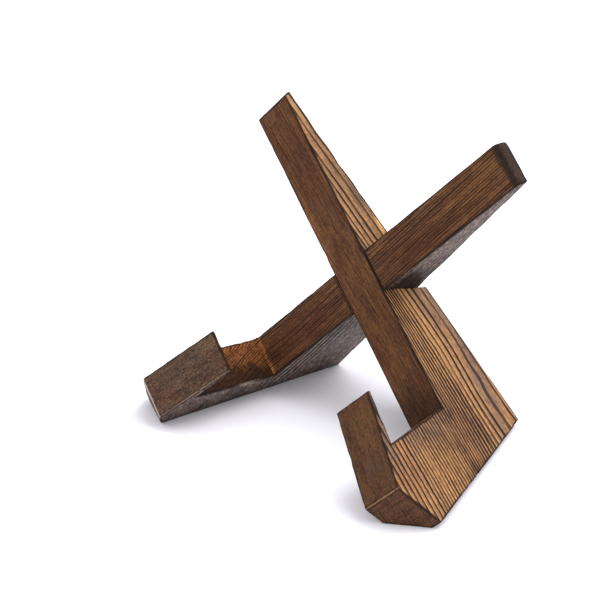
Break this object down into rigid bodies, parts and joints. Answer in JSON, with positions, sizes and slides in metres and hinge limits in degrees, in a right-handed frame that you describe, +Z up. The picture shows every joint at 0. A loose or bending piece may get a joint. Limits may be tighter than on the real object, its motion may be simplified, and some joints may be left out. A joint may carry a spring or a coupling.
{
  "type": "photo album stand",
  "caption": "Leaning X stand of two slotted hook-shaped wooden boards that hold an open album or book against their arms.",
  "frame": {"origin": "on the table, in the middle of the stand's width and depth", "axes": "+Z up, +Y to the back, +X to the right as the reader faces the album"},
  "size_m": [0.2164, 0.1246, 0.1652],
  "materials": {
    "scorched_wood": "scorched, brushed along the grain and stained brown, with a low satin wax sheen"
  },
  "bodies": {
    "left_hook_board": {"left_hook_board": "scorched_wood"},
    "right_hook_board": {"right_hook_board": "scorched_wood"}
  },
  "joints": [
    {"name": "crossing_slide", "type": "slide", "parent": "left_hook_board", "child": "right_hook_board", "axis": [0, -0.9563, 0.2924], "range_m": [0, 0.06]}
  ]
}
